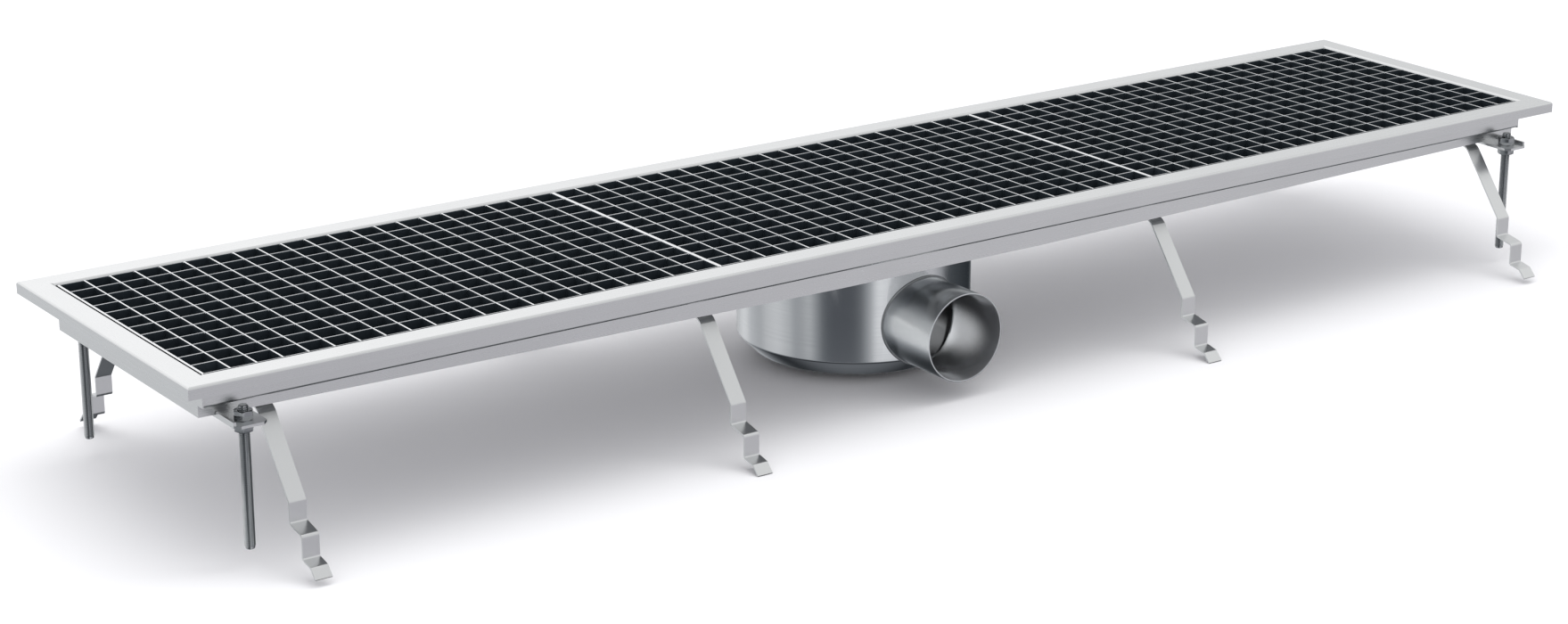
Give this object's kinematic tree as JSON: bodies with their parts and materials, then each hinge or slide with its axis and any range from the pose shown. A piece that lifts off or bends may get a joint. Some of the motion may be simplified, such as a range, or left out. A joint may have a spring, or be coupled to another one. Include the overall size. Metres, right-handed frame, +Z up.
{
  "type": "floor drain",
  "caption": "Long stainless steel box channel drain with lift-out mesh gratings, a round gully with a side outlet, levelling rods and anchor straps.",
  "frame": {"origin": "under the middle of the channel, at the level of the lowest anchor tips", "axes": "+Z up, +X along the channel, -Y the way the horizontal outlet points"},
  "size_m": [2, 0.5904, 0.2165],
  "materials": {
    "brushed_steel": "brushed stainless steel sheet",
    "polished_steel": "electropolished stainless steel bars",
    "spun_steel": "spun stainless steel with fine turning lines",
    "bright_fasteners": "rolled thread and cold-formed nuts",
    "seal_rubber": "moulded black rubber"
  },
  "bodies": {
    "drain": {"channel_trough": "brushed_steel", "end_plate_left": "brushed_steel", "end_plate_right": "brushed_steel", "grating_left": "polished_steel", "grating_centre": "polished_steel", "grating_right": "polished_steel", "gully_pot": "spun_steel", "outlet_spigot": "spun_steel", "neck_ring": "spun_steel", "dip_tube": "spun_steel", "trap_cup": "spun_steel", "strainer_basket": "spun_steel", "basket_handle": "spun_steel", "trap_seal": "seal_rubber", "upper_nuts": "bright_fasteners", "lower_nuts": "bright_fasteners", "bracket_front_left": "brushed_steel", "bracket_front_right": "brushed_steel", "bracket_rear_left": "brushed_steel", "bracket_rear_right": "brushed_steel", "anchor_front_1": "brushed_steel", "anchor_front_2": "brushed_steel", "anchor_front_3": "brushed_steel", "anchor_front_4": "brushed_steel", "anchor_rear_1": "brushed_steel", "anchor_rear_2": "brushed_steel", "anchor_rear_3": "brushed_steel", "anchor_rear_4": "brushed_steel"},
    "rod_front_left": {"levelling_rod_front_left": "bright_fasteners"},
    "rod_front_right": {"levelling_rod_front_right": "bright_fasteners"},
    "rod_rear_left": {"levelling_rod_rear_left": "bright_fasteners"},
    "rod_rear_right": {"levelling_rod_rear_right": "bright_fasteners"}
  },
  "joints": [
    {"name": "rod_front_left_slide", "type": "slide", "parent": "drain", "child": "rod_front_left", "axis": [0, 0, 1], "range_m": [-0.005, 0.03]},
    {"name": "rod_front_right_slide", "type": "slide", "parent": "drain", "child": "rod_front_right", "axis": [0, 0, 1], "range_m": [-0.005, 0.03]},
    {"name": "rod_rear_left_slide", "type": "slide", "parent": "drain", "child": "rod_rear_left", "axis": [0, 0, 1], "range_m": [-0.005, 0.03]},
    {"name": "rod_rear_right_slide", "type": "slide", "parent": "drain", "child": "rod_rear_right", "axis": [0, 0, 1], "range_m": [-0.005, 0.03]}
  ]
}
